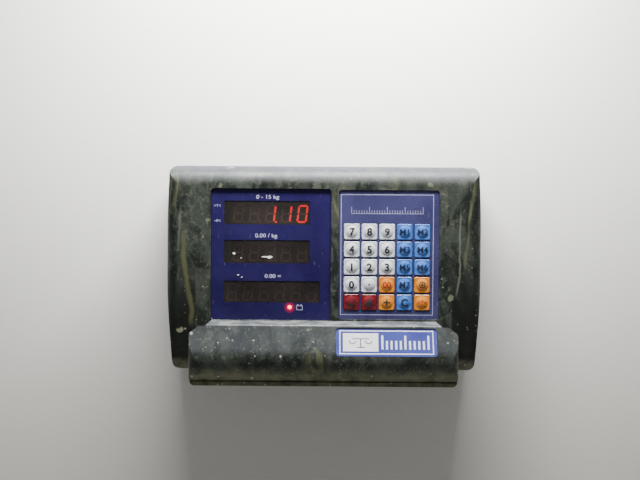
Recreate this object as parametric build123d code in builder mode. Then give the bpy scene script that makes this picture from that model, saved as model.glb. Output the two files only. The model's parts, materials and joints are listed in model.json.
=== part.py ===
"""Wall-hung price-computing scale indicator: housing, three LED read-outs, 25-key pad, battery.

X runs to the right, Y towards the wall and Z up.  The origin lies on the wall plane, in the
middle of the housing's back.  The object faces -Y.  Every "depth" below is a distance forward of
the wall, and front_plane(depth) is the plane at that distance, facing the user.
"""
import os
from math import cos, radians, sin, sqrt, tan

from build123d import *

os.makedirs("parts", exist_ok=True)

# ---------------------------------------------------------------- housing
housing_width = 258.0
housing_height = 163.0
housing_depth = 52.0
wall = 3.0
side_round = 10.0           # horizontal rounding from the front face into each side
side_draft = 5.5            # each side is this much further in at the front than at the wall
edge_round = 16.0           # bullnose along the top and bottom of the front face
top_width = housing_width - 4.4         # width along the top edge
bottom_width = housing_width - 10.6     # width along the bottom edge
side_break_top = 44.0       # how far below the top edge the sides reach full width
side_break_bottom = 60.0    # how far above the bottom edge they leave it
side_blend = 350.0
corner_round = 7.0
rounding_overlap = 0.2      # the front roundings run this far past the housing's outline

# ---------------------------------------------------------------- roll along the lower front
roll_width = 202.0
roll_depth = 80.1           # front of the roll, measured from the wall
roll_lean = 18.0            # how far the upper face of the roll leans back, in degrees
roll_nose_radius = 24.0     # curve of its lower face
roll_nose_z = -66.0         # height of the roll's foremost line
roll_wall = 5.0
ledge_z = -40.6             # top of the roll, a flat ledge under the two panels
ledge_width = 176.0         # raised middle stretch of the ledge
shoulder_drop = 4.6         # the roll's two ends stand this much lower
shoulder_run = 4.0          # width of the slope down to each end
roll_end_round = 5.0
roll_corner_round = 4.0
ledge_edge_round = 2.0
groove_height = 1.0
groove_depth = 1.2
lip_height = 3.0
lip_proud = 0.3
roll_height = 42.4          # from the ledge down to the groove
roll_heel_depth = 28.0      # where the underside of the roll meets the bottom of the housing

# ---------------------------------------------------------------- display panel
display_x = -41.6
display_z = 11.3
display_width = 94.1
display_height = 103.2
display_recess = 1.5
display_corner = 2.4
overlay_thickness = 0.3
filter_thickness = 2.0
display_floor = 1.5
panel_gap = 0.15            # all round each panel in its pocket
window_left = -78.5
window_widths = (67.2, 67.2, 75.4)
window_heights = (18.4, 18.1, 16.8)
window_z = (44.0, 13.4, -18.1)
window_corner = 0.6
digit_counts = (5, 5, 6)
digit_pitch = 12.6
digit_body_height = 19.0
digit_body_depth = 8.0
digit_body_gap = 0.1
digit_drop = 0.8            # digits sit a little below the middle of their window
digit_right_shift = (0.5, 0.5, 0.1)     # digits' right edge past the window's right edge
digit_clearance = 0.3       # between the digits' faces and the filter
display_board_width = 95.0
display_board_height = 100.0
lamp_x = -26.7
lamp_z = -30.3
lamp_radius = 1.5
lamp_clearance = 0.2
lamp_proud = 0.4
lamp_sleeve_radius = 1.7
lamp_dome_length = 5.3
lamp_dome_round = 1.35
opening_margin = 1.5

# ---------------------------------------------------------------- keypad
keypad_x = 50.8
keypad_z = 11.5
keypad_width = 78.8
keypad_height = 101.4
keypad_recess = 0.8
keypad_thickness = 1.0
keypad_corner = 2.4
keys_x = 49.4               # middle of the block of keys
keys_z = 2.0
key_rows = 5                # and as many columns
key_pitch = 13.83
key_size = 12.1
key_clearance = 0.3
key_corner = 1.2
key_proud = 0.6
key_dome_radius = 5.0
key_dome_height = 1.1
key_flange = 13.2
key_flange_thickness = 1.0
key_flange_gap = 0.1        # between a key's flange and the back of the panel
key_stem = 4.0
key_switch_gap = 0.9        # from the stem to its switch at rest
switch_size = 6.0
switch_height = 4.0
switch_button_radius = 1.75
switch_button_height = 1.0
key_board_distance = 11.0   # from the housing's front face to the key board
key_board_size = 84.0
key_post_offset = 39.0
key_field_margin = 0.7

# ---------------------------------------------------------------- nameplate
plate_x = 47.1
plate_width = 76.2
plate_height = 21.2
plate_corner = 3.0
plate_z = -52.7
plate_sink = 1.6            # depth of the pocket in the roll's leaning face
plate_thickness = 1.0
plate_gap = 0.2

# ---------------------------------------------------------------- boards, posts and fasteners
board_thickness = 1.6
post_radius = 3.2
screw_radius = 1.5
screw_clearance = 0.05
screw_length = 6.0
screw_head_radius = 2.8
screw_head_height = 1.8
display_post_x = 44.0
display_post_z = 47.0
cover_gap = 0.3
cover_thickness = 3.0
boss_radius = 4.0
boss_length = 19.0
boss_side_inset = 11.0      # from the widest part of the housing to the side bosses
boss_end_inset = 9.5        # from the top and bottom edges to the middle bosses
boss_upper_z = 52.0
boss_lower_z = -42.0
cover_screw_length = 12.0
cover_screw_head_radius = 3.0
countersink_angle = 90.0
cover_hole_clearance = 0.2
driver_slot_width = 0.8
driver_slot_depth = 1.0

# ---------------------------------------------------------------- wall hanging
keyhole_x = 85.0
keyhole_z = 46.0
keyhole_head_radius = 4.6
keyhole_slot_radius = 2.3
keyhole_rise = 9.0

# ---------------------------------------------------------------- electronics on the rear cover
main_board_width = 70.0
main_board_height = 60.0
main_board_x = 25.0
main_board_z = 24.0
main_board_standoff = 8.0
main_post_inset = 4.0
chip_size = 14.0
chip_height = 2.4
chip_offset_z = 8.0
buzzer_radius = 6.0
buzzer_height = 9.0
buzzer_offset_x = 22.0
buzzer_offset_z = 18.0
buzzer_port_radius = 1.2
buzzer_port_depth = 2.0
header_height = 6.0
header_depth = 5.0
header_width = 18.0
ribbon_width = 16.0
ribbon_thickness = 0.8
ribbon_bend = 2.0
key_ribbon_x = 49.4
key_ribbon_z = (-22.0, 8.0)
display_ribbon_x = -4.0
display_ribbon_z = (22.0, 42.0)
battery_width = 97.0
battery_height = 51.0
battery_thickness = 24.0
battery_x = -40.0
battery_z = -39.0
battery_edge_round = 1.5
battery_gap = 0.3
terminal_width = 4.75
terminal_thickness = 0.8
terminal_length = 6.5
terminal_spacing = 60.0
shelf_thickness = 2.5
shelf_overhang = 2.0
strap_width = 15.0
strap_thickness = 1.0
strap_foot = 9.0
strap_boss_height = 5.0
lead_radius = 0.9
lead_spacing = 3.0
lead_rise = 9.0
lead_bend = 2.0
lead_end_drop = 8.0         # below the middle of the main board

# ---------------------------------------------------------------- inlets under the housing
inlet_depth = 16.0
gland_x = -60.0
gland_hole_radius = 6.0
gland_bore_radius = 3.0
gland_flange_radius = 8.5
gland_flange_height = 3.0
gland_dome_length = 7.0
gland_dome_radius = 6.2     # at the flange
gland_dome_taper = 12.0     # in degrees
gland_nut_width = 17.0
gland_nut_height = 4.0
gland_thread_gap = 0.1
jack_x = 60.0
jack_hole_radius = 4.0
jack_bore_radius = 2.75
jack_pin_radius = 1.05
jack_flange_radius = 5.5
jack_flange_height = 1.5
jack_length = 12.0

# ---------------------------------------------------------------- worked-out places
half_height = housing_height / 2
groove_top_z = ledge_z - roll_height
lip_top_z = groove_top_z - groove_height
lip_bottom_z = lip_top_z - lip_height
nose_center_depth = roll_depth - roll_nose_radius
overlay_back = housing_depth - display_recess - overlay_thickness
display_seat = overlay_back - filter_thickness
display_pad_back = display_seat - display_floor
digit_face = display_seat - digit_clearance
display_board_front = digit_face - digit_body_depth
keypad_face = housing_depth - keypad_recess
keypad_seat = keypad_face - keypad_thickness
key_flange_front = keypad_seat - key_flange_gap
key_flange_back = key_flange_front - key_flange_thickness
key_board_front = housing_depth - key_board_distance
switch_top = key_board_front + switch_height
main_board_back = cover_thickness + main_board_standoff
main_board_front = main_board_back + board_thickness
strap_foot_depth = cover_thickness + strap_boss_height
lean = radians(roll_lean)
boss_places = [
    (sign * (housing_width / 2 - boss_side_inset), z, sign, 0)
    for z in (boss_upper_z, boss_lower_z)
    for sign in (-1, 1)
] + [(0, sign * (half_height - boss_end_inset), 0, sign) for sign in (-1, 1)]
strap_foot_x = battery_width / 2 + battery_gap + strap_thickness + strap_foot / 2
strap_feet = [(battery_x + sign * strap_foot_x, battery_z) for sign in (-1, 1)]
main_posts = [
    (
        main_board_x + sign_x * (main_board_width / 2 - main_post_inset),
        main_board_z + sign_z * (main_board_height / 2 - main_post_inset),
    )
    for sign_x in (-1, 1)
    for sign_z in (-1, 1)
]
display_posts = [
    (display_x + sign_x * display_post_x, display_z + sign_z * display_post_z)
    for sign_x in (-1, 1)
    for sign_z in (-1, 1)
]
key_posts = [
    (keys_x + sign_x * key_post_offset, keys_z + sign_z * key_post_offset)
    for sign_x in (-1, 1)
    for sign_z in (-1, 1)
]


def roll_lean_depth(z, inset):
    """Depth of the roll's leaning face at this height, set in by inset."""
    end_depth = nose_center_depth + (roll_nose_radius - inset) * cos(lean)
    end_z = roll_nose_z + (roll_nose_radius - inset) * sin(lean)
    return end_depth - (z - end_z) * tan(lean)


def roll_nose_depth(z, inset):
    """Depth of the roll's curved lower face at this height, set in by inset."""
    return nose_center_depth + sqrt((roll_nose_radius - inset) ** 2 - (z - roll_nose_z) ** 2)


def front_plane(depth):
    """Plane parallel to the wall, facing the user, at this distance from the wall."""
    return Plane.XZ.offset(depth)


def back_plane(x, z, depth):
    """Plane parallel to the wall, facing it, centred on this point at this depth."""
    return Plane(origin=(x, -depth, z), x_dir=(-1, 0, 0), z_dir=(0, 1, 0))


def below_plane(z, x, depth):
    """Horizontal plane facing down, at this height, centred on this point."""
    return Plane(origin=(x, -depth, z), x_dir=(1, 0, 0), z_dir=(0, 0, -1))


def save(piece, name):
    """Label a finished sub-part and write its STEP file."""
    piece.label = name
    export_step(piece, f"parts/{name}.step")


# ---------------------------------------------------------------- housing forms
def housing_outline(inset, depth=0):
    """Outline of the housing at this depth, drawn in the sketch that is open, set in by inset."""
    narrowing = side_draft * depth / housing_depth
    right = [
        (top_width / 2 - narrowing, half_height),
        (housing_width / 2 - narrowing, half_height - side_break_top),
        (housing_width / 2 - narrowing, side_break_bottom - half_height),
        (bottom_width / 2 - narrowing, -half_height),
    ]
    left = [(-x, z) for x, z in reversed(right)]
    Polygon(*right, *left, align=None)
    breaks = vertices().sort_by(Axis.X)
    fillet(breaks[:2] + breaks[-2:], side_blend)
    corners = vertices().group_by(Axis.Y)
    fillet(corners[0] + corners[-1], corner_round)
    if inset:
        offset(amount=-inset)


def housing_form(inset, back):
    """The housing's rounded block from depth back to its front, set in by inset."""
    front = housing_depth - inset
    half_width = housing_width / 2 + rounding_overlap - inset
    half_front = half_width - side_draft * front / housing_depth
    half_back = half_width - side_draft * back / housing_depth
    height = housing_height + 2 * rounding_overlap - 2 * inset
    with BuildPart() as form:
        for depth in (back, front):
            with BuildSketch(front_plane(depth)):
                housing_outline(inset, depth)
        loft(ruled=True)
        with BuildSketch(Plane.XY) as plan:
            Polygon(
                (-half_front, -front), (half_front, -front),
                (half_back + rounding_overlap, rounding_overlap - back),
                (-half_back - rounding_overlap, rounding_overlap - back),
                align=None,
            )
            fillet(plan.vertices().group_by(Axis.Y)[0], side_round - inset)
        extrude(amount=housing_height, both=True, mode=Mode.INTERSECT)
        with BuildSketch(Plane.YZ) as side:
            with Locations((rounding_overlap - (front + back) / 2, 0)):
                Rectangle(front - back + 2 * rounding_overlap, height)
            fillet(side.vertices().group_by(Axis.X)[0], edge_round - inset)
        extrude(amount=housing_width, both=True, mode=Mode.INTERSECT)
    return form.part


def roll_front_outline(inset):
    """Front view of the roll: a raised middle, two lower shoulders and rounded corners."""
    half_ledge = ledge_width / 2
    half_roll = roll_width / 2
    shoulder_z = ledge_z - shoulder_drop
    right = [
        (half_ledge, ledge_z),
        (half_ledge + shoulder_run, shoulder_z),
        (half_roll, shoulder_z),
        (half_roll, lip_bottom_z),
    ]
    left = [(-x, z) for x, z in reversed(right)]
    Polygon(*right, *left, align=None)
    ends = vertices().group_by(Axis.X)
    fillet(ends[0] + ends[-1], roll_corner_round)
    if inset:
        offset(amount=-inset)


def roll_profile(top, bottom, inset):
    """Ledge, leaning face and nose of the roll seen from its side; draws them, returns the nose."""
    nose_top_z = roll_nose_z + (roll_nose_radius - inset) * sin(lean)
    ledge = Line((-roll_heel_depth, top), (-roll_lean_depth(top, inset), top))
    face = Line(ledge @ 1, (-roll_lean_depth(nose_top_z, inset), nose_top_z))
    return ThreePointArc(
        face @ 1, (-roll_nose_depth(roll_nose_z, inset), roll_nose_z),
        (-roll_nose_depth(bottom, inset), bottom),
    )


def roll_form():
    """Outside of the roll, with the groove and the lip along its lower edge."""
    roll_edge_depth = roll_nose_depth(groove_top_z, 0)
    lip_depth = roll_edge_depth + lip_proud
    with BuildPart() as form:
        with BuildSketch(Plane.YZ) as profile:
            with BuildLine():
                nose = roll_profile(ledge_z, groove_top_z, 0)
                Polyline(
                    nose @ 1,
                    (groove_depth - roll_edge_depth, groove_top_z),
                    (groove_depth - roll_edge_depth, lip_top_z),
                    (-lip_depth, lip_top_z),
                    (-lip_depth, lip_bottom_z),
                    (-roll_heel_depth - wall, lip_bottom_z + wall),
                    (-roll_heel_depth, wall - half_height),
                    (-roll_heel_depth, ledge_z),
                )
            make_face()
            fillet(profile.vertices().group_by(Axis.Y)[-1].sort_by(Axis.X)[0], ledge_edge_round)
        extrude(amount=roll_width, both=True)
        with BuildSketch(Plane.XZ):
            roll_front_outline(0)
        extrude(amount=roll_depth, mode=Mode.INTERSECT)
        with BuildSketch(Plane.XY) as plan:
            with Locations((0, -roll_depth / 2)):
                Rectangle(roll_width, roll_depth)
            fillet(plan.vertices().group_by(Axis.Y)[0], roll_end_round)
        extrude(amount=housing_height, both=True, mode=Mode.INTERSECT)
    return form.part


def roll_hollow():
    """Space inside the roll, open at the back into the housing."""
    top = ledge_z - wall
    bottom = wall - half_height
    with BuildPart() as hollow:
        with BuildSketch(Plane.YZ):
            with BuildLine():
                nose = roll_profile(top, bottom, roll_wall)
                Polyline(nose @ 1, (-roll_heel_depth, bottom), (-roll_heel_depth, top))
            make_face()
        extrude(amount=roll_width, both=True)
        with BuildSketch(Plane.XZ):
            roll_front_outline(wall)
        extrude(amount=roll_depth, mode=Mode.INTERSECT)
        with BuildSketch(Plane.XY) as plan:
            with Locations((0, -(roll_depth - roll_wall) / 2)):
                Rectangle(roll_width - 2 * roll_wall, roll_depth - roll_wall)
            fillet(plan.vertices().group_by(Axis.Y)[0], roll_end_round - wall)
        extrude(amount=housing_height, both=True, mode=Mode.INTERSECT)
    return hollow.part


def cover_bosses():
    """Screw bosses on the side, top and bottom walls, each with a web to its wall."""
    with BuildPart() as bosses:
        for x, z, side, end in boss_places:
            reach = 2 * boss_side_inset
            with BuildSketch(front_plane(cover_thickness)):
                with Locations((x, z)):
                    Circle(boss_radius)
                with Locations((x + side * reach / 2, z + end * reach / 2)):
                    Rectangle(
                        reach if side else 2 * boss_radius, reach if end else 2 * boss_radius
                    )
            extrude(amount=boss_length)
    return bosses.part


outer_form = housing_form(0, 0)
inner_form = housing_form(wall, -1)
boss_form = cover_bosses() & outer_form
roll_outside = roll_form()
roll_inside = roll_hollow()
plate_plane = Plane(
    origin=(plate_x, -roll_lean_depth(plate_z, 0), plate_z),
    x_dir=(1, 0, 0),
    z_dir=(0, -cos(lean), sin(lean)),
).offset(-plate_sink)
digit_rights = [
    window_left + width + shift for width, shift in zip(window_widths, digit_right_shift)
]
opening_left = window_left - opening_margin
opening_right = window_left + max(window_widths) + opening_margin
opening_top = window_z[0] + digit_body_height / 2 + opening_margin
opening_bottom = lamp_z - lamp_sleeve_radius - opening_margin

# ---------------------------------------------------------------- front shell
with BuildPart() as front_shell:
    add(outer_form)
    add(roll_outside)
    add(inner_form, mode=Mode.SUBTRACT)
    add(roll_inside, mode=Mode.SUBTRACT)
    # straight seat for the rear cover
    with BuildSketch(Plane.XZ):
        housing_outline(wall)
    extrude(amount=cover_thickness, mode=Mode.SUBTRACT)
    add(boss_form)
    # thicker floor behind the display
    with BuildSketch(front_plane(display_pad_back)):
        with Locations((display_x, display_z)):
            Rectangle(display_width + 2 * wall, display_height + 2 * wall)
    extrude(amount=housing_depth - wall - display_pad_back)
    # pocket for the overlay and the filter, and the opening for the digits
    with BuildSketch(front_plane(display_seat)):
        with Locations((display_x, display_z)):
            RectangleRounded(display_width, display_height, display_corner)
    extrude(amount=housing_depth - display_seat, mode=Mode.SUBTRACT)
    with BuildSketch(front_plane(display_pad_back)):
        with Locations(((opening_left + opening_right) / 2, (opening_top + opening_bottom) / 2)):
            Rectangle(opening_right - opening_left, opening_top - opening_bottom)
    extrude(amount=display_floor, mode=Mode.SUBTRACT)
    # pocket for the keypad panel, and the opening for the keys
    with BuildSketch(front_plane(keypad_seat)):
        with Locations((keypad_x, keypad_z)):
            RectangleRounded(keypad_width, keypad_height, keypad_corner)
    extrude(amount=housing_depth - keypad_seat, mode=Mode.SUBTRACT)
    key_field = (key_rows - 1) * key_pitch + key_flange + 2 * key_field_margin
    with BuildSketch(front_plane(keypad_seat)):
        with Locations((keys_x, keys_z)):
            Rectangle(key_field, key_field)
    extrude(amount=-2 * wall, mode=Mode.SUBTRACT)
    # pocket for the nameplate
    with BuildSketch(plate_plane):
        RectangleRounded(plate_width, plate_height, plate_corner)
    extrude(amount=2 * plate_sink, mode=Mode.SUBTRACT)
    # posts for the display board and the key board
    with BuildSketch(front_plane(display_board_front)):
        with Locations(*display_posts):
            Circle(post_radius)
    extrude(amount=display_pad_back - display_board_front)
    with BuildSketch(front_plane(key_board_front)):
        with Locations(*key_posts):
            Circle(post_radius)
    extrude(amount=housing_depth - wall - key_board_front)
    pilot_radius = screw_radius + screw_clearance
    with BuildSketch(front_plane(display_board_front)):
        with Locations(*display_posts):
            Circle(pilot_radius)
    extrude(amount=screw_length, mode=Mode.SUBTRACT)
    with BuildSketch(front_plane(key_board_front)):
        with Locations(*key_posts):
            Circle(pilot_radius)
    extrude(amount=screw_length, mode=Mode.SUBTRACT)
    with BuildSketch(front_plane(cover_thickness)):
        with Locations(*[(x, z) for x, z, side, end in boss_places]):
            Circle(pilot_radius)
    extrude(amount=cover_screw_length, mode=Mode.SUBTRACT)
    # inlet holes through the bottom wall
    with BuildSketch(Plane.XY.offset(-half_height)):
        with Locations((gland_x, -inlet_depth)):
            Circle(gland_hole_radius)
        with Locations((jack_x, -inlet_depth)):
            Circle(jack_hole_radius)
    extrude(amount=wall, mode=Mode.SUBTRACT)
save(front_shell.part, "front_shell")

# ---------------------------------------------------------------- rear cover
with BuildPart() as rear_cover:
    with BuildSketch(Plane.XZ):
        housing_outline(wall + cover_gap)
    extrude(amount=cover_thickness)
    for x, z in main_posts:
        with BuildSketch(front_plane(cover_thickness)):
            with Locations((x, z)):
                Circle(post_radius)
        extrude(amount=main_board_standoff)
    for x, z in strap_feet:
        with BuildSketch(front_plane(cover_thickness)):
            with Locations((x, z)):
                Circle(strap_foot / 2)
        extrude(amount=strap_boss_height)
    # shelf that carries the battery
    with BuildSketch(front_plane(cover_thickness)):
        shelf_z = battery_z - battery_height / 2 - battery_gap - shelf_thickness / 2
        with Locations((battery_x, shelf_z)):
            Rectangle(battery_width, shelf_thickness)
    extrude(amount=battery_thickness + battery_gap + shelf_overhang)
    with BuildSketch(front_plane(main_board_back)):
        with Locations(*main_posts):
            Circle(pilot_radius)
    extrude(amount=-screw_length, mode=Mode.SUBTRACT)
    with BuildSketch(front_plane(strap_foot_depth)):
        with Locations(*strap_feet):
            Circle(pilot_radius)
    extrude(amount=-screw_length, mode=Mode.SUBTRACT)
    # keyholes: a round entry for the screw head and a narrow slot above it
    for side in (-1, 1):
        with BuildSketch(Plane.XZ):
            with Locations((side * keyhole_x, keyhole_z)):
                Circle(keyhole_head_radius)
            with Locations((side * keyhole_x, keyhole_z + keyhole_rise / 2)):
                Rectangle(2 * keyhole_slot_radius, keyhole_rise)
            with Locations((side * keyhole_x, keyhole_z + keyhole_rise)):
                Circle(keyhole_slot_radius)
        extrude(amount=cover_thickness, mode=Mode.SUBTRACT)
    with Locations(*[back_plane(x, z, 0) for x, z, side, end in boss_places]):
        CounterSinkHole(
            screw_radius + cover_hole_clearance,
            cover_screw_head_radius + cover_hole_clearance,
            depth=cover_thickness,
            counter_sink_angle=countersink_angle,
        )
save(rear_cover.part, "rear_cover")


# ---------------------------------------------------------------- display
def panel_outline(x, z, width, height, corner):
    """Front view of a panel, a small gap smaller all round than its pocket."""
    with Locations((x, z)):
        RectangleRounded(width - 2 * panel_gap, height - 2 * panel_gap, corner)


def display_outline():
    """Front view of the display's sheets, with the hole for the status lamp."""
    panel_outline(display_x, display_z, display_width, display_height, display_corner)
    with Locations((lamp_x, lamp_z)):
        Circle(lamp_radius + lamp_clearance, mode=Mode.SUBTRACT)


with BuildPart() as display_filter:
    with BuildSketch(front_plane(display_seat)):
        display_outline()
    extrude(amount=filter_thickness)
save(display_filter.part, "display_filter")

with BuildPart() as display_overlay:
    with BuildSketch(front_plane(overlay_back)):
        display_outline()
        for width, height, z in zip(window_widths, window_heights, window_z):
            with Locations((window_left + width / 2, z)):
                RectangleRounded(width, height, window_corner, mode=Mode.SUBTRACT)
    extrude(amount=overlay_thickness)
save(display_overlay.part, "display_overlay")

for name, right, count, z in zip(
    ("mass_digits", "price_digits", "total_digits"), digit_rights, digit_counts, window_z
):
    digit_width = digit_pitch - digit_body_gap
    with BuildPart() as digits:
        with BuildSketch(front_plane(display_board_front)):
            for place in range(count):
                with Locations((right - (place + 0.5) * digit_pitch, z - digit_drop)):
                    Rectangle(digit_width, digit_body_height)
        extrude(amount=digit_body_depth)
    save(digits.part, name)

with BuildPart() as display_board:
    with BuildSketch(front_plane(display_board_front)):
        with Locations((display_x, display_z)):
            Rectangle(display_board_width, display_board_height)
        with Locations(*display_posts):
            Circle(pilot_radius, mode=Mode.SUBTRACT)
    extrude(amount=-board_thickness)
save(display_board.part, "display_board")

lamp_front = housing_depth - display_recess + lamp_proud
with BuildPart() as status_lamp:
    with BuildSketch(front_plane(display_board_front)):
        with Locations((lamp_x, lamp_z)):
            Circle(lamp_sleeve_radius)
    extrude(amount=lamp_front - lamp_dome_length - display_board_front)
    with BuildSketch(front_plane(lamp_front - lamp_dome_length)):
        with Locations((lamp_x, lamp_z)):
            Circle(lamp_radius)
    extrude(amount=lamp_dome_length)
    fillet(status_lamp.edges().filter_by(GeomType.CIRCLE).sort_by(Axis.Y)[0], lamp_dome_round)
save(status_lamp.part, "status_lamp")


# ---------------------------------------------------------------- keypad
key_names = (
    ("7", "8", "9", "memory_1", "memory_2"),
    ("4", "5", "6", "memory_3", "memory_4"),
    ("1", "2", "3", "memory_5", "memory_6"),
    ("0", "point", "change", "memory_7", "hold"),
    ("power", "print", "plus", "clear", "tare"),
)
middle_row = (key_rows - 1) / 2
key_places = {
    f"key_{name}": (
        keys_x + (column - middle_row) * key_pitch, keys_z + (middle_row - row) * key_pitch
    )
    for row, names in enumerate(key_names)
    for column, name in enumerate(names)
}

with BuildPart() as keypad_panel:
    key_hole = key_size + 2 * key_clearance
    with BuildSketch(front_plane(keypad_seat)):
        panel_outline(keypad_x, keypad_z, keypad_width, keypad_height, keypad_corner)
        with Locations(*key_places.values()):
            RectangleRounded(key_hole, key_hole, key_corner + key_clearance, mode=Mode.SUBTRACT)
    extrude(amount=keypad_thickness)
save(keypad_panel.part, "keypad_panel")


def key_piece(x, z):
    """Square key with a domed boss, a flange behind the panel and a stem to its switch."""
    cap_front = keypad_face + key_proud
    ball_radius = (key_dome_radius**2 + key_dome_height**2) / (2 * key_dome_height)
    with BuildPart() as key:
        with BuildSketch(front_plane(key_flange_front)):
            with Locations((x, z)):
                RectangleRounded(key_size, key_size, key_corner)
        extrude(amount=cap_front - key_flange_front)
        chamfer(key.faces().sort_by(Axis.Y)[0].edges(), key_proud / 2)
        with BuildSketch(front_plane(key_flange_back)):
            with Locations((x, z)):
                Rectangle(key_flange, key_flange)
        extrude(amount=key_flange_thickness)
        with BuildSketch(front_plane(switch_top + switch_button_height + key_switch_gap)):
            with Locations((x, z)):
                Rectangle(key_stem, key_stem)
        extrude(until=Until.NEXT)
        with BuildSketch(Plane(origin=(x, -cap_front, z), x_dir=(1, 0, 0), z_dir=(0, 0, 1))):
            with BuildLine():
                top = Line((0, 0), (0, -key_dome_height))
                rim = RadiusArc(top @ 1, (key_dome_radius, 0), -ball_radius)
                Line(rim @ 1, top @ 0)
            make_face()
        revolve(axis=Axis((x, -cap_front, z), (0, 1, 0)))
    return key.part


for name, (x, z) in key_places.items():
    save(key_piece(x, z), name)

with BuildPart() as key_switches:
    with BuildSketch(front_plane(key_board_front)):
        with Locations(*key_places.values()):
            Rectangle(switch_size, switch_size)
    extrude(amount=switch_height)
    with BuildSketch(front_plane(switch_top)):
        with Locations(*key_places.values()):
            Circle(switch_button_radius)
    extrude(amount=switch_button_height)
save(key_switches.part, "key_switches")

with BuildPart() as key_board:
    with BuildSketch(front_plane(key_board_front)):
        with Locations((keys_x, keys_z)):
            Rectangle(key_board_size, key_board_size)
        with Locations(*key_posts):
            Circle(pilot_radius, mode=Mode.SUBTRACT)
    extrude(amount=-board_thickness)
save(key_board.part, "key_board")

# ---------------------------------------------------------------- nameplate
with BuildPart() as nameplate:
    with BuildSketch(plate_plane):
        RectangleRounded(plate_width - 2 * plate_gap, plate_height - 2 * plate_gap, plate_corner)
    extrude(amount=plate_thickness)
save(nameplate.part, "nameplate")

# ---------------------------------------------------------------- main board
with BuildPart() as main_board:
    with BuildSketch(front_plane(main_board_back)):
        with Locations((main_board_x, main_board_z)):
            Rectangle(main_board_width, main_board_height)
        with Locations(*main_posts):
            Circle(pilot_radius, mode=Mode.SUBTRACT)
    extrude(amount=board_thickness)
save(main_board.part, "main_board")

with BuildPart() as processor_chip:
    with BuildSketch(front_plane(main_board_front)):
        with Locations((main_board_x, main_board_z - chip_offset_z)):
            Rectangle(chip_size, chip_size)
    extrude(amount=chip_height)
save(processor_chip.part, "processor_chip")

with BuildPart() as buzzer:
    with BuildSketch(front_plane(main_board_front)):
        with Locations((main_board_x + buzzer_offset_x, main_board_z + buzzer_offset_z)):
            Circle(buzzer_radius)
    extrude(amount=buzzer_height)
    with BuildSketch(front_plane(main_board_front + buzzer_height)):
        with Locations((main_board_x + buzzer_offset_x, main_board_z + buzzer_offset_z)):
            Circle(buzzer_port_radius)
    extrude(amount=-buzzer_port_depth, mode=Mode.SUBTRACT)
save(buzzer.part, "buzzer")

# ---------------------------------------------------------------- ribbons between the boards
key_board_back = key_board_front - board_thickness
display_board_back = display_board_front - board_thickness
ribbon_runs = {
    "keypad_ribbon": (key_ribbon_x, key_board_back, key_ribbon_z),
    "display_ribbon": (display_ribbon_x, display_board_back, display_ribbon_z),
}
with BuildPart() as board_headers:
    for x, board_back, (front_z, rear_z) in ribbon_runs.values():
        with BuildSketch(front_plane(board_back)):
            with Locations((x, front_z)):
                Rectangle(header_width, header_depth)
        extrude(amount=-header_height)
        with BuildSketch(front_plane(main_board_front)):
            with Locations((x, rear_z)):
                Rectangle(header_width, header_depth)
        extrude(amount=header_height)
save(board_headers.part, "board_headers")

for name, (x, board_back, (front_z, rear_z)) in ribbon_runs.items():
    start = board_back - header_height
    finish = main_board_front + header_height
    middle = (start + finish) / 2
    with BuildPart() as ribbon:
        with BuildLine(Plane.YZ.offset(x)) as route:
            FilletPolyline(
                (-start, front_z), (-middle, front_z), (-middle, rear_z), (-finish, rear_z),
                radius=ribbon_bend,
            )
        with BuildSketch(Plane(origin=(x, -start, front_z), x_dir=(1, 0, 0), z_dir=(0, 1, 0))):
            Rectangle(ribbon_width, ribbon_thickness)
        sweep(path=route.wires()[0])
    save(ribbon.part, name)

# ---------------------------------------------------------------- battery
battery_back = cover_thickness + battery_gap
battery_front = battery_back + battery_thickness
battery_top = battery_z + battery_height / 2
with BuildPart() as battery:
    with BuildSketch(front_plane(battery_back)):
        with Locations((battery_x, battery_z)):
            Rectangle(battery_width, battery_height)
    extrude(amount=battery_thickness)
    fillet(battery.edges().filter_by(Axis.Z), battery_edge_round)
save(battery.part, "battery")

terminal_places = [battery_x + side * terminal_spacing / 2 for side in (-1, 1)]
with BuildPart() as battery_terminals:
    with BuildSketch(Plane.XY.offset(battery_top)):
        for x in terminal_places:
            with Locations((x, -(battery_back + battery_front) / 2)):
                Rectangle(terminal_width, terminal_thickness)
    extrude(amount=terminal_length)
save(battery_terminals.part, "battery_terminals")

# bent strap: two feet on the cover's bosses, two legs and a bridge across the battery's front
with BuildPart() as battery_strap:
    leg_x = battery_width / 2 + battery_gap
    strap_front = battery_front + battery_gap
    with BuildSketch(Plane.XY.offset(battery_z - strap_width / 2)):
        with Locations((battery_x, -(strap_foot_depth + strap_front + strap_thickness) / 2)):
            Rectangle(
                2 * (leg_x + strap_thickness), strap_front + strap_thickness - strap_foot_depth
            )
        with Locations((battery_x, -(strap_foot_depth + strap_front) / 2)):
            Rectangle(2 * leg_x, strap_front - strap_foot_depth, mode=Mode.SUBTRACT)
        for side in (-1, 1):
            foot_middle = battery_x + side * (leg_x + (strap_thickness + strap_foot) / 2)
            with Locations((foot_middle, -strap_foot_depth - strap_thickness / 2)):
                Rectangle(strap_thickness + strap_foot, strap_thickness)
    extrude(amount=strap_width)
    with BuildSketch(front_plane(strap_foot_depth)):
        with Locations(*strap_feet):
            Circle(pilot_radius)
    extrude(amount=strap_thickness, mode=Mode.SUBTRACT)
save(battery_strap.part, "battery_strap")

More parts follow.
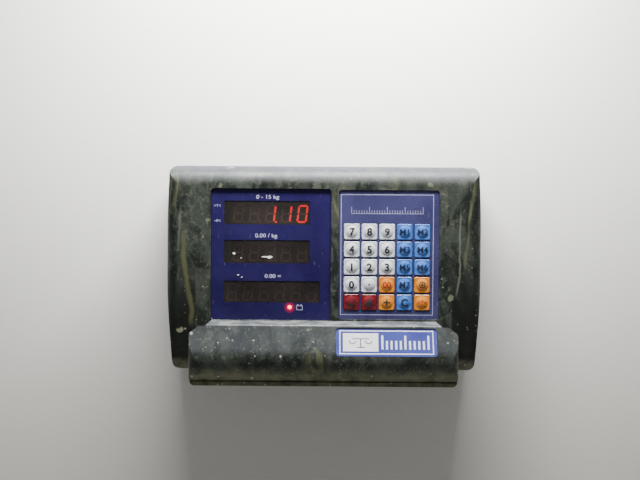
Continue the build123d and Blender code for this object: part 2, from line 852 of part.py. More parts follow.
# two leads from the battery's terminals up to the lower edge of the main board
with BuildPart() as battery_leads:
    lead_start = battery_top + terminal_length
    for number, x in enumerate(terminal_places):
        end_x = main_board_x - main_board_width / 4 + number * lead_spacing
        end_z = main_board_z - lead_end_drop
        depth = (battery_back + battery_front) / 2
        lift = lead_start + lead_rise + number * lead_spacing
        with BuildLine() as route:
            FilletPolyline(
                (x, -depth, lead_start), (x, -depth, lift), (end_x, -depth - lead_rise, lift),
                (end_x, -depth - lead_rise, end_z), (end_x, -main_board_front, end_z),
                radius=lead_bend,
            )
        with BuildSketch(Plane.XY.offset(lead_start)):
            with Locations((x, -depth)):
                Circle(lead_radius)
        sweep(path=route.wires()[0])
save(battery_leads.part, "battery_leads")

# ---------------------------------------------------------------- inlets under the housing
with BuildPart() as cable_gland:
    with BuildSketch(below_plane(-half_height, gland_x, inlet_depth)):
        Circle(gland_flange_radius)
    extrude(amount=gland_flange_height)
    with BuildSketch(below_plane(-half_height - gland_flange_height, gland_x, inlet_depth)):
        Circle(gland_dome_radius)
    extrude(amount=gland_dome_length, taper=gland_dome_taper)
    thread_length = wall + gland_nut_height
    with BuildSketch(below_plane(-half_height, gland_x, inlet_depth)):
        Circle(gland_hole_radius - gland_thread_gap)
    extrude(amount=-thread_length)
    with BuildSketch(below_plane(-half_height + thread_length, gland_x, inlet_depth)):
        Circle(gland_bore_radius)
    extrude(amount=thread_length + gland_flange_height + gland_dome_length, mode=Mode.SUBTRACT)
save(cable_gland.part, "cable_gland")

with BuildPart() as gland_nut:
    with BuildSketch(below_plane(wall - half_height, gland_x, inlet_depth)):
        RegularPolygon(gland_nut_width / 2, 6, major_radius=False)
        Circle(gland_hole_radius, mode=Mode.SUBTRACT)
    extrude(amount=-gland_nut_height)
save(gland_nut.part, "gland_nut")

with BuildPart() as power_jack:
    with BuildSketch(below_plane(-half_height, jack_x, inlet_depth)):
        Circle(jack_flange_radius)
    extrude(amount=jack_flange_height)
    with BuildSketch(below_plane(-half_height, jack_x, inlet_depth)):
        Circle(jack_hole_radius - gland_thread_gap)
    extrude(amount=-jack_length)
    with BuildSketch(below_plane(-half_height - jack_flange_height, jack_x, inlet_depth)):
        Circle(jack_bore_radius)
        Circle(jack_pin_radius, mode=Mode.SUBTRACT)
    extrude(amount=-(jack_length - jack_flange_height), mode=Mode.SUBTRACT)
save(power_jack.part, "power_jack")


# ---------------------------------------------------------------- screws
def board_screw(plane):
    """Pan-head screw with a driver slot, its head on this plane and its shank behind it."""
    with BuildPart() as screw:
        with BuildSketch(plane):
            Circle(screw_head_radius)
        extrude(amount=screw_head_height)
        with BuildSketch(plane):
            Circle(screw_radius)
        extrude(amount=-screw_length)
        with BuildSketch(plane.offset(screw_head_height - driver_slot_depth)):
            Rectangle(2 * screw_head_radius, driver_slot_width)
        extrude(amount=driver_slot_depth, mode=Mode.SUBTRACT)
    return screw.part


def cover_screw(plane):
    """Countersunk screw with a driver slot, its head flush with this plane."""
    head_height = cover_screw_head_radius - screw_radius
    with BuildPart() as screw:
        with BuildSketch(plane):
            Circle(screw_radius)
        extrude(amount=-cover_screw_length)
        with BuildSketch(plane):
            Circle(cover_screw_head_radius)
        extrude(amount=-head_height, taper=countersink_angle / 2)
        with BuildSketch(plane.offset(-driver_slot_depth)):
            Rectangle(2 * cover_screw_head_radius, driver_slot_width)
        extrude(amount=driver_slot_depth, mode=Mode.SUBTRACT)
    return screw.part


screw_planes = (
    [back_plane(x, z, display_board_back) for x, z in display_posts]
    + [back_plane(x, z, key_board_back) for x, z in key_posts]
    + [front_plane(main_board_front).shift_origin((x, -main_board_front, z)) for x, z in main_posts]
    + [
        front_plane(strap_foot_depth + strap_thickness).shift_origin(
            (x, -strap_foot_depth - strap_thickness, z)
        )
        for x, z in strap_feet
    ]
)
board_screws = Part(children=[board_screw(plane) for plane in screw_planes])
save(board_screws, "board_screws")
cover_screws = Part(
    children=[cover_screw(back_plane(x, z, 0)) for x, z, side, end in boss_places]
)
save(cover_screws, "cover_screws")
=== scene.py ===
"""Looks of the wall-hung scale indicator: finishes, printed legends, lit digits, light and camera.

Metres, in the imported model's frame: X right, Y towards the wall, Z up, origin on the wall.
"""
import json
import math
import random

import bmesh
import bpy
from mathutils import Matrix, Vector


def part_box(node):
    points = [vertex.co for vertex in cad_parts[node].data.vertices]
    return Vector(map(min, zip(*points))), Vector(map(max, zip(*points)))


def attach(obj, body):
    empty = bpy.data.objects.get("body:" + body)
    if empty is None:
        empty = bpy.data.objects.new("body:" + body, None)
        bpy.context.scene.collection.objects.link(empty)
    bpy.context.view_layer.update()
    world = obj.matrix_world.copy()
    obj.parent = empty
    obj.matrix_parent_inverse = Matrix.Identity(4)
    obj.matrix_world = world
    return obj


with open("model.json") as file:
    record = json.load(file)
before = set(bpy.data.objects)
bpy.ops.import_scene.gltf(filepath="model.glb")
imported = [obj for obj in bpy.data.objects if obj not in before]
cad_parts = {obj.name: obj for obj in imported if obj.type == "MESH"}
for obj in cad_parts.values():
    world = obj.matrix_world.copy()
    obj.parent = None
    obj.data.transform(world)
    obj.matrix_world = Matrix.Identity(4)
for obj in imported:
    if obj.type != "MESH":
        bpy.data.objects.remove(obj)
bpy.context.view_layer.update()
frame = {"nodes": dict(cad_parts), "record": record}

mm = 0.001
nodes = frame["nodes"]
body_of_node = {
    node: body
    for body, members in frame["record"]["behaviour"]["bodies"].items()
    for node in members
}


# ------------------------------------------------------------------ camera
camera_place = Vector((-0.0015, -0.5605, 0.0321))
camera_yaw = 0.0033
camera_pitch = -0.0182
camera_roll = 0.0071
camera_lens = 36.56


def make_camera():
    camera = bpy.data.objects.new("camera", bpy.data.cameras.new("camera"))
    bpy.context.scene.collection.objects.link(camera)
    camera.data.lens = camera_lens
    camera.data.sensor_width = 36.0
    camera.data.dof.use_dof = False
    camera.data.clip_start = 0.01
    camera.matrix_world = (
        Matrix.Translation(camera_place)
        @ Matrix.Rotation(camera_yaw, 4, "Z")
        @ Matrix.Rotation(math.pi / 2 + camera_pitch, 4, "X")
        @ Matrix.Rotation(camera_roll, 4, "Z")
    )
    bpy.context.scene.camera = camera


# ------------------------------------------------------------------ node materials
class Finish:
    """A node material, with short ways to add what it is mixed from."""

    def __init__(self, name):
        self.material = bpy.data.materials.new(name)
        self.material.use_nodes = True
        self.tree = self.material.node_tree
        self.shader = self.tree.nodes["Principled BSDF"]
        self.place = self.add("ShaderNodeTexCoord").outputs["Object"]

    def add(self, kind, settings=None, **inputs):
        node = self.tree.nodes.new(kind)
        for name, value in (settings or {}).items():
            setattr(node, name, value)
        for name, value in inputs.items():
            self.feed(node.inputs[name.replace("_", " ")], value)
        return node

    def feed(self, socket, value):
        if isinstance(value, bpy.types.NodeSocket):
            self.tree.links.new(value, socket)
        else:
            socket.default_value = value

    def stretched(self, x=1.0, y=1.0, z=1.0):
        return self.add("ShaderNodeMapping", Vector=self.place, Scale=(x, y, z)).outputs[0]

    def noise(self, scale, detail=3.0, rough=0.55, warp=0.0, place=None):
        node = self.add(
            "ShaderNodeTexNoise", Vector=place or self.place, Scale=scale, Detail=detail,
            Roughness=rough, Distortion=warp,
        )
        return node.outputs[0]

    def maths(self, kind, first, second=0.0):
        node = self.add("ShaderNodeMath", {"operation": kind})
        self.feed(node.inputs[0], first)
        self.feed(node.inputs[1], second)
        return node.outputs[0]

    def step(self, value, low, high, out_low=0.0, out_high=1.0):
        node = self.add("ShaderNodeMapRange", {"interpolation_type": "SMOOTHSTEP"}, Value=value)
        self.feed(node.inputs["From Min"], low)
        self.feed(node.inputs["From Max"], high)
        self.feed(node.inputs["To Min"], out_low)
        self.feed(node.inputs["To Max"], out_high)
        return node.outputs[0]

    def blend(self, amount, first, second, kind="MIX"):
        node = self.add("ShaderNodeMix", {"data_type": "RGBA", "blend_type": kind})
        self.feed(node.inputs[0], amount)
        self.feed(node.inputs[6], first)
        self.feed(node.inputs[7], second)
        return node.outputs[2]

    def spots(self, scale, largest, share, warp=0.0):
        """Round spots in a share of cells 1/scale metres wide, each up to largest cells."""
        place = self.place
        if warp:
            push = self.add("ShaderNodeTexNoise", Vector=self.place, Scale=scale * 3, Detail=2.0)
            place = self.add("ShaderNodeVectorMath", {"operation": "MULTIPLY_ADD"})
            self.feed(place.inputs[0], push.outputs[1])
            self.feed(place.inputs[1], (warp, warp, warp))
            self.feed(place.inputs[2], self.place)
            place = place.outputs[0]
        cells = self.add("ShaderNodeTexVoronoi", Vector=place, Scale=scale)
        chance = self.add("ShaderNodeSeparateColor", Color=cells.outputs["Color"])
        radius = self.maths("MULTIPLY", chance.outputs["Green"], largest)
        inside = self.maths("SUBTRACT", radius, cells.outputs["Distance"])
        spot = self.step(inside, 0.0, largest * 0.3)
        chosen = self.maths("LESS_THAN", chance.outputs["Red"], share)
        return self.maths("MULTIPLY", spot, chosen)

    def bump(self, height, strength, distance):
        node = self.add("ShaderNodeBump", Height=height, Strength=strength, Distance=distance)
        self.feed(self.shader.inputs["Normal"], node.outputs[0])

    def set(self, colour=None, rough=None, **flat):
        if colour is not None:
            self.feed(self.shader.inputs["Base Color"], colour)
        if rough is not None:
            self.feed(self.shader.inputs["Roughness"], rough)
        for name, value in flat.items():
            self.shader.inputs[name.replace("_", " ")].default_value = value
        return self.material


def tint(red, green, blue):
    return (red, green, blue, 1.0)


roll_half_width = 0.101
ledge_half_width = 0.0895
# streaks down the front: x at the foot and at the top, z of the top and foot, half width,
# strength, colour
plastic_streaks = (
    (-0.1040, -0.1100, 0.030, -0.048, 0.0030, 0.70, tint(0.064, 0.068, 0.030)),
    (-0.1145, -0.1120, 0.050, 0.010, 0.0013, 0.45, tint(0.085, 0.093, 0.080)),
    (0.1050, 0.1072, 0.046, -0.024, 0.0011, 0.60, tint(0.110, 0.118, 0.090)),
)
# specks: cells to the metre, largest radius in cells, share of cells, warp, strength, colour
plastic_specks = (
    (420, 0.30, 0.50, 0.0, 0.60, tint(0.20, 0.21, 0.16)),
    (250, 0.26, 0.45, 0.001, 0.75, tint(0.28, 0.29, 0.22)),
    (150, 0.24, 0.45, 0.0015, 0.80, tint(0.36, 0.37, 0.27)),
    (62, 0.17, 0.50, 0.005, 0.55, tint(0.26, 0.28, 0.17)),
)


def marbled_base(f):
    """Blotches, dark patches, olive veins and flecks, all drawn out downwards."""
    cloud = f.noise(30, 6, 0.62, 1.8, f.stretched(z=0.38))
    tone = f.blend(f.step(cloud, 0.38, 0.60), tint(0.006, 0.009, 0.007), tint(0.029, 0.035, 0.029))
    patch = f.noise(130, 6, 0.72, 0.9, f.stretched(z=0.8))
    tone = f.blend(f.step(patch, 0.50, 0.66, 0.0, 0.80), tone, tint(0.056, 0.062, 0.049))
    dark = f.noise(60, 4, 0.6, 1.2, f.stretched(z=0.6))
    tone = f.blend(f.step(dark, 0.50, 0.62, 0.0, 0.90), tone, tint(0.005, 0.007, 0.006))
    fold = f.noise(17, 4, 0.5, 1.2, f.stretched(z=0.22))
    vein = f.step(f.maths("ABSOLUTE", f.maths("SUBTRACT", fold, 0.5)), 0.035, 0.0)
    where = f.step(f.noise(14, 2, 0.5, 0.0), 0.45, 0.60, 0.0, 0.75)
    tone = f.blend(f.maths("MULTIPLY", vein, where), tone, tint(0.090, 0.096, 0.051))
    fleck = f.noise(380, 4, 0.75)
    tone = f.blend(f.step(fleck, 0.57, 0.68, 0.0, 0.60), tone, tint(0.100, 0.106, 0.082))
    return f.blend(f.step(fleck, 0.42, 0.30, 0.0, 0.5), tone, tint(0.005, 0.006, 0.005))


def marbled_streaks(f, tone, across, height):
    sway = f.maths("MULTIPLY", f.maths("SUBTRACT", f.noise(45, 3), 0.5), 0.007)
    for foot_x, top_x, top, foot, width, strength, colour in plastic_streaks:
        line = f.maths("ADD", f.step(height, foot, top, foot_x, top_x), sway)
        away = f.maths("ABSOLUTE", f.maths("SUBTRACT", across, line))
        below_top = f.step(height, top + 4 * mm, top - 8 * mm)
        ends = f.maths("MULTIPLY", below_top, f.step(height, foot, foot + 10 * mm))
        streak = f.maths("MULTIPLY", f.step(away, width, width * 0.2, 0.0, strength), ends)
        tone = f.blend(streak, tone, colour)
    return tone


def marbled_plastic():
    """Dark grey-green marbled plastic with cream specks, dust and painted sheen, shade and
    highlight.
    """
    f = Finish("marbled_plastic")
    tone = marbled_base(f)
    place = f.add("ShaderNodeSeparateXYZ", Vector=f.place).outputs
    across, height = place["X"], place["Z"]
    side = f.maths("ABSOLUTE", across)
    # painted shade: the housing beside the roll is painted darker towards its foot
    wing_painted_shade = f.step(side, roll_half_width - 1.5 * mm, roll_half_width + 0.5 * mm)
    wing_painted_shade = f.maths("MULTIPLY", wing_painted_shade, f.step(height, 0.030, -0.040, 0.0, 0.92))
    tone = f.blend(wing_painted_shade, tone, tint(0.003, 0.004, 0.003))
    tone = marbled_streaks(f, tone, across, height)
    # painted sheen: grey-blue reflected light painted on faces that lean back
    facing = f.add("ShaderNodeNewGeometry").outputs["Normal"]
    up = f.add("ShaderNodeSeparateXYZ", Vector=facing).outputs["Z"]
    uneven = f.step(f.noise(55, 5), 0.3, 0.7, 0.55, 1.0)
    painted_sheen = f.maths("MULTIPLY", f.step(up, 0.04, 0.36, 0.0, 0.36), uneven)
    tone = f.blend(painted_sheen, tone, tint(0.078, 0.086, 0.098))
    # painted bounce light: the underside and the lip are painted a lighter olive
    painted_underlight = f.maths("MAXIMUM", f.step(up, -0.15, -0.60), f.step(height, -0.0745, -0.0785))
    patchy = f.step(f.noise(120, 4, 0.6), 0.32, 0.62, 0.25, 0.85)
    tone = f.blend(f.maths("MULTIPLY", painted_underlight, patchy), tone, tint(0.120, 0.122, 0.068))
    denser = f.step(height, 0.02, -0.08, 0.45, 1.0)
    for scale, largest, share, warp, strength, colour in plastic_specks:
        speck = f.maths("MULTIPLY", f.spots(scale, largest, share, warp), strength)
        tone = f.blend(f.maths("MULTIPLY", speck, denser), tone, colour)
    # dust with a painted bluish sheen on top, a painted highlight on the ledge, dark shoulders and
    # white marks
    patchy = f.step(f.noise(90, 5, 0.65), 0.30, 0.66, 0.6, 1.0)
    dust_and_sheen = f.maths("MULTIPLY", f.step(up, 0.15, 0.95), patchy)
    tone = f.blend(f.maths("MULTIPLY", dust_and_sheen, 0.30), tone, tint(0.085, 0.097, 0.140))
    level = f.maths("MULTIPLY", f.step(up, 0.4, 0.8), f.step(height, -0.030, -0.036))
    inner, outer = ledge_half_width - 1.0 * mm, ledge_half_width + 1.0 * mm
    ledge = f.maths("MULTIPLY", level, f.step(side, outer, inner))
    # painted highlight: the ledge's top is painted light in patches
    ledge_highlight = f.maths("MULTIPLY", ledge, f.step(f.noise(75, 4, 0.6), 0.40, 0.66, 0.0, 0.42))
    tone = f.blend(ledge_highlight, tone, tint(0.300, 0.305, 0.285))
    shoulder = f.maths("MULTIPLY", level, f.step(side, inner, outer, 0.0, 0.85))
    tone = f.blend(shoulder, tone, tint(0.010, 0.012, 0.010))
    # white marks, drawn out sideways, on faces that look upwards
    white_marks = f.step(f.noise(110, 3, 0.6, 0.5, f.stretched(x=0.35)), 0.66, 0.76, 0.0, 0.55)
    white_marks = f.maths("MULTIPLY", white_marks, f.step(up, 0.4, 0.95))
    tone = f.blend(white_marks, tone, tint(0.55, 0.56, 0.58))
    f.bump(f.noise(1400, 2), 0.10, 0.0002)
    shine = f.step(f.noise(70, 4, 0.6), 0.3, 0.7, 0.38, 0.52)
    return f.set(tone, shine, Specular_IOR_Level=0.26)


def film_finish(name, low, high, shine=0.3):
    """Glossy printed film: a slightly uneven ink colour, fine scratches and a soft grain."""
    f = Finish(name)
    tone = f.blend(f.step(f.noise(25, 3), 0.3, 0.7), low, high)
    scratch_place = f.stretched(x=6.0, z=0.8)
    scratches = f.step(f.noise(160, 2, 0.5, 0.4, scratch_place), 0.70, 0.76, 0.0, 0.16)
    tone = f.blend(scratches, tone, tint(0.35, 0.36, 0.45))
    rough = f.step(f.noise(90, 3), 0.3, 0.7, shine - 0.06, shine + 0.08)
    f.bump(f.noise(500, 2), 0.05, 0.0002)
    f.set(tone, rough)
    return f


def printed_film(name, low, high, shine=0.3):
    return film_finish(name, low, high, shine).material


def display_film():
    """The display's printed film, which glows red close round its lit lamp."""
    f = film_finish("display_film", tint(0.009, 0.006, 0.043), tint(0.014, 0.010, 0.062))
    low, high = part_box("status_lamp")
    away = f.add("ShaderNodeVectorMath", {"operation": "DISTANCE"})
    f.feed(away.inputs[0], f.place)
    f.feed(away.inputs[1], ((low.x + high.x) / 2, low.y, (low.z + high.z) / 2))
    near = f.add(
        "ShaderNodeMapRange", {"interpolation_type": "SMOOTHERSTEP"},
        Value=away.outputs["Value"], From_Min=5.6 * mm, From_Max=1.2 * mm,
    )
    glow = f.blend(near.outputs[0], tint(0, 0, 0), tint(0.50, 0.0, 0.004))
    f.feed(f.shader.inputs["Emission Color"], glow)
    return f.set(Emission_Strength=1.0, Specular_IOR_Level=0.25)


def moulded(name, low, high, shine=0.5, grain=900, strength=0.15):
    """Moulded or cast surface with a fine grain and an uneven tone."""
    f = Finish(name)
    tone = f.blend(f.step(f.noise(35, 4), 0.3, 0.7), low, high)
    f.bump(f.noise(grain, 2), strength, 0.0002)
    return f.set(tone, f.step(f.noise(120, 3), 0.3, 0.7, shine - 0.08, shine + 0.08))


def metal(name, low, high, shine=0.3):
    f = Finish(name)
    tone = f.blend(f.step(f.noise(80, 4), 0.3, 0.7), low, high)
    brushed = f.noise(900, 3, 0.6, 0.0, f.stretched(x=0.1))
    f.bump(brushed, 0.08, 0.0001)
    return f.set(tone, f.step(brushed, 0.3, 0.7, shine - 0.08, shine + 0.12), Metallic=1.0)


def circuit_board():
    """Green solder mask with a faint pattern of copper tracks under it."""
    f = Finish("circuit_board")
    bricks = f.add("ShaderNodeTexBrick", Vector=f.place, Scale=160.0)
    bricks.inputs["Color1"].default_value = tint(0.010, 0.085, 0.035)
    bricks.inputs["Color2"].default_value = tint(0.012, 0.100, 0.040)
    bricks.inputs["Mortar"].default_value = tint(0.018, 0.150, 0.060)
    uneven = f.step(f.noise(40, 3), 0.3, 0.7, 0.0, 0.6)
    tone = f.blend(uneven, bricks.outputs[0], tint(0.008, 0.07, 0.03))
    return f.set(tone, f.step(f.noise(200, 2), 0.3, 0.7, 0.25, 0.4))


def smoked_acrylic():
    """Dark see-through window sheet, dusty enough to show faint wipe marks."""
    f = Finish("smoked_acrylic")
    uneven = f.step(f.noise(30, 3), 0.35, 0.7)
    tone = f.blend(uneven, tint(0.020, 0.017, 0.016), tint(0.034, 0.029, 0.027))
    wipes = f.noise(120, 2, 0.5, 0.5, f.stretched(x=0.5, z=3.0))
    return f.set(tone, f.step(wipes, 0.3, 0.7, 0.12, 0.24), Alpha=0.50, IOR=1.49)


def glowing(name, colour, strength):
    """Lit surface, brighter in the middle of each patch of its grain."""
    f = Finish(name)
    level = f.step(f.noise(900, 1), 0.3, 0.7, 0.85, 1.0)
    tone = f.blend(level, tint(0, 0, 0), colour)
    f.feed(f.shader.inputs["Emission Color"], tone)
    return f.set(tone, 0.4, Emission_Strength=strength)


def key_film(name, low, high, dirt):
    """Key top: printed colour, a little dirt, satin gloss."""
    f = Finish(name)
    tone = f.blend(f.step(f.noise(260, 3), 0.3, 0.7), low, high)
    smudge = f.step(f.noise(140, 4, 0.6, 0.8), 0.50, 0.72, 0.0, 0.35)
    tone = f.blend(smudge, tone, dirt)
    f.bump(f.noise(1600, 2), 0.06, 0.0001)
    return f.set(tone, f.step(f.noise(200, 2), 0.3, 0.7, 0.24, 0.36))


finishes = {
    "housing": marbled_plastic(),
    "back_plastic": moulded(
        "back_cover", tint(0.020, 0.024, 0.022), tint(0.036, 0.042, 0.038), 0.55, 500, 0.4,
    ),
    "panel_blue": display_film(),
    "smoked_window": smoked_acrylic(),
    "digit_black": moulded("digit_face", tint(0.010, 0.008, 0.008), tint(0.018, 0.014, 0.013), 0.5),
    "board_green": circuit_board(),
    "lamp_red": glowing("lit_lamp", tint(1.0, 0.09, 0.08), 7.0),
    "keypad_blue": printed_film(
        "keypad_film", tint(0.024, 0.023, 0.075), tint(0.036, 0.036, 0.105),
    ),
    "key_white": key_film(
        "key_white", tint(0.47, 0.49, 0.54), tint(0.56, 0.58, 0.64), tint(0.26, 0.27, 0.28),
    ),
    "key_blue": key_film(
        "key_blue", tint(0.028, 0.098, 0.36), tint(0.050, 0.150, 0.47), tint(0.03, 0.07, 0.18),
    ),
    "key_orange": key_film(
        "key_orange", tint(0.47, 0.150, 0.008), tint(0.57, 0.195, 0.016), tint(0.26, 0.09, 0.02),
    ),
    "key_red": key_film(
        "key_red", tint(0.095, 0.004, 0.008), tint(0.150, 0.006, 0.012), tint(0.04, 0.003, 0.005),
    ),
    "switch_black": moulded("switch_body", tint(0.02, 0.02, 0.02), tint(0.04, 0.04, 0.04)),
    "plate_blue": printed_film(
        "plate_film", tint(0.030, 0.038, 0.190), tint(0.050, 0.062, 0.260), 0.35,
    ),
    "chip_black": moulded("chip_body", tint(0.012, 0.012, 0.013), tint(0.025, 0.025, 0.026), 0.45),
    "header_cream": moulded("header_body", tint(0.55, 0.52, 0.42), tint(0.65, 0.62, 0.5)),
    "ribbon_grey": moulded("ribbon_sleeve", tint(0.28, 0.28, 0.30), tint(0.36, 0.36, 0.38)),
    "battery_case": moulded("battery_case", tint(0.03, 0.03, 0.033), tint(0.05, 0.05, 0.053)),
    "terminal_brass": metal("terminal_tab", tint(0.62, 0.50, 0.26), tint(0.72, 0.60, 0.34)),
    "strap_metal": metal("strap_sheet", tint(0.58, 0.59, 0.60), tint(0.70, 0.71, 0.72)),
    "lead_rubber": moulded("lead_sleeve", tint(0.25, 0.015, 0.015), tint(0.35, 0.03, 0.03)),
    "gland_black": moulded(
        "gland_nylon", tint(0.016, 0.016, 0.018), tint(0.028, 0.028, 0.030), 0.45,
    ),
    "jack_black": moulded("jack_body", tint(0.014, 0.014, 0.015), tint(0.026, 0.026, 0.027), 0.4),
    "screw_steel": metal("zinc_plated", tint(0.50, 0.50, 0.49), tint(0.66, 0.66, 0.64)),
}
ink_white = moulded("ink_white", tint(0.62, 0.63, 0.72), tint(0.74, 0.75, 0.82), 0.4)
ink_faint = moulded("ink_faint", tint(0.22, 0.22, 0.36), tint(0.30, 0.30, 0.46), 0.4)
ink_caption = moulded("ink_caption", tint(0.34, 0.34, 0.50), tint(0.44, 0.44, 0.62), 0.4)
ink_black = moulded("ink_black", tint(0.010, 0.010, 0.012), tint(0.018, 0.018, 0.022), 0.5)
ink_navy = moulded("ink_navy", tint(0.004, 0.008, 0.028), tint(0.008, 0.014, 0.040), 0.4)
ink_red = moulded("ink_red", tint(0.30, 0.010, 0.008), tint(0.42, 0.016, 0.012), 0.4)
flake = moulded("paint_flake", tint(0.60, 0.60, 0.55), tint(0.80, 0.80, 0.76), 0.6)
segment_dark = moulded("segment_off", tint(0.200, 0.090, 0.060), tint(0.260, 0.120, 0.080), 0.5)
segment_lit = glowing("segment_lit", tint(1.0, 0.008, 0.004), 4.0)


def paint_frame():
    for entry in frame["record"]["subparts"]:
        node = nodes[entry["node"]]
        node.data.materials.clear()
        node.data.materials.append(finishes[entry["material_slot"]])


# ------------------------------------------------------------------ drawing pieces
print_height = 0.03 * mm


class Drawing:
    """Flat printed shapes in (x, z), gathered into one raised layer."""

    def __init__(self):
        self.points = []
        self.faces = []

    def polygon(self, outline):
        start = len(self.points)
        self.points += outline
        self.faces.append(list(range(start, start + len(outline))))

    def bar(self, x, z, width, height):
        self.polygon([
            (x - width / 2, z - height / 2), (x + width / 2, z - height / 2),
            (x + width / 2, z + height / 2), (x - width / 2, z + height / 2),
        ])

    def frame(self, x, z, width, height, line):
        self.bar(x, z + (height - line) / 2, width, line)
        self.bar(x, z - (height - line) / 2, width, line)
        self.bar(x - (width - line) / 2, z, line, height - 2 * line)
        self.bar(x + (width - line) / 2, z, line, height - 2 * line)

    def ring(self, x, z, radius, line, start=0.0, sweep=360.0, parts=24):
        for part in range(parts):
            turn = [math.radians(start + sweep * (part + step) / parts) for step in (0, 1)]
            inner, outer = (
                [(x + reach * math.cos(a), z + reach * math.sin(a)) for a in turn]
                for reach in (radius - line, radius)
            )
            self.polygon([inner[0], outer[0], outer[1], inner[1]])

    def letters(self, text, x, z, height, stretch=1.0, bold=0.0):
        """Text of this capital height, centred on (x, z)."""
        curve = bpy.data.curves.new("letters", "FONT")
        curve.body = text
        curve.align_x = "CENTER"
        curve.size = 1.0
        curve.offset = bold
        curve.resolution_u = 4
        holder = bpy.data.objects.new("letters", curve)
        mesh = bpy.data.meshes.new_from_object(holder)
        high = max(v.co.y for v in mesh.vertices)
        low = min(v.co.y for v in mesh.vertices)
        capital = 0.73
        size = height / capital
        start = len(self.points)
        middle = capital / 2 if high - low > 0.3 else (high + low) / 2
        self.points += [
            (x + v.co.x * size * stretch, z + (v.co.y - middle) * size) for v in mesh.vertices
        ]
        self.faces += [[start + i for i in p.vertices] for p in mesh.polygons]
        bpy.data.objects.remove(holder)
        bpy.data.curves.remove(curve)
        bpy.data.meshes.remove(mesh)

    def piece(self, name, material, body, slot, surface, cell=None):
        """One mesh: surface(x, z) gives the y that the print lies on."""
        mesh = bmesh.new()
        corners = [mesh.verts.new((x, 0.0, z)) for x, z in self.points]
        for face in self.faces:
            mesh.faces.new([corners[i] for i in face])
        if cell:
            split(mesh, cell)
        for corner in mesh.verts:
            corner.co.y = surface(corner.co.x, corner.co.z) - print_height
        bmesh.ops.recalc_face_normals(mesh, faces=mesh.faces)
        for face in mesh.faces:
            if face.normal.y > 0:
                face.normal_flip()
        data = bpy.data.meshes.new(name)
        mesh.to_mesh(data)
        mesh.free()
        piece = bpy.data.objects.new(name, data)
        bpy.context.scene.collection.objects.link(piece)
        data.materials.append(material)
        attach(piece, body)
        return piece


def split(mesh, cell):
    """Cuts a flat mesh along a grid, so that it can follow a curved surface."""
    low = [min(v.co[axis] for v in mesh.verts) for axis in (0, 2)]
    high = [max(v.co[axis] for v in mesh.verts) for axis in (0, 2)]
    for axis, start, end in zip((0, 2), low, high):
        normal = Vector((0, 0, 0))
        normal[axis] = 1
        place = start + cell
        while place < end:
            point = Vector((0, 0, 0))
            point[axis] = place
            geometry = mesh.verts[:] + mesh.edges[:] + mesh.faces[:]
            bmesh.ops.bisect_plane(mesh, geom=geometry, plane_co=point, plane_no=normal)
            place += cell


def flat(depth):
    return lambda x, z: depth


# ------------------------------------------------------------------ digits behind the windows
digit_height = 14.2 * mm
digit_width = 6.6 * mm          # between the middles of the left and right segments
digit_slant = math.radians(7)
segment_width = 1.5 * mm
segment_gap = 0.18 * mm
point_radius = 0.85 * mm
point_gap = 1.9 * mm            # from the right segments to the middle of the decimal point
segments_of = {"0": "abcdef", "1": "bc"}


def segment_outline(name, x, z):
    """Slanted six-sided bar, one of a digit's seven, around the digit's middle."""
    half = (digit_height - segment_width) / 2
    wide = digit_width / 2
    ends = {
        "a": ((-wide, half), (wide, half)),
        "b": ((wide, half), (wide, 0)),
        "c": ((wide, 0), (wide, -half)),
        "d": ((-wide, -half), (wide, -half)),
        "e": ((-wide, 0), (-wide, -half)),
        "f": ((-wide, half), (-wide, 0)),
        "g": ((-wide, 0), (wide, 0)),
    }
    first, last = (Vector(end) for end in ends[name])
    along = (last - first).normalized()
    across = Vector((-along.y, along.x))
    first += along * segment_gap
    last -= along * segment_gap
    nose = segment_width / 2
    shape = [
        first, first + (along + across) * nose, last + (across - along) * nose,
        last, last - (across + along) * nose, first + (along - across) * nose,
    ]
    slope = math.tan(digit_slant)
    return [(x + p.x + p.y * slope, z + p.y) for p in shape]


def add_digits(node, places, shown):
    """A row of digits on a display block; shown maps a place from the right to what is lit."""
    low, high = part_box(node)
    pitch = (high.x - low.x) / places
    middle = (low.z + high.z) / 2
    dark = Drawing()
    lit = Drawing()
    for place in range(places):
        x = high.x - (place + 0.5) * pitch
        figure, point = shown.get(place, ("", False))
        for name in "abcdefg":
            sheet = lit if name in segments_of.get(figure, "") else dark
            sheet.polygon(segment_outline(name, x, middle))
        sheet = lit if point else dark
        dot_x = x + digit_width / 2 + point_gap - digit_height / 2 * math.tan(digit_slant)
        dot_z = middle - (digit_height - segment_width) / 2
        sheet.polygon([
            (dot_x + point_radius * math.cos(turn), dot_z + point_radius * math.sin(turn))
            for turn in [math.tau * step / 12 for step in range(12)]
        ])
    dark.piece(f"{node}_segments", segment_dark, "housing", "digit_black", flat(low.y))
    if lit.faces:
        lit.piece(f"{node}_lit", segment_lit, "housing", "lamp_red", flat(low.y))


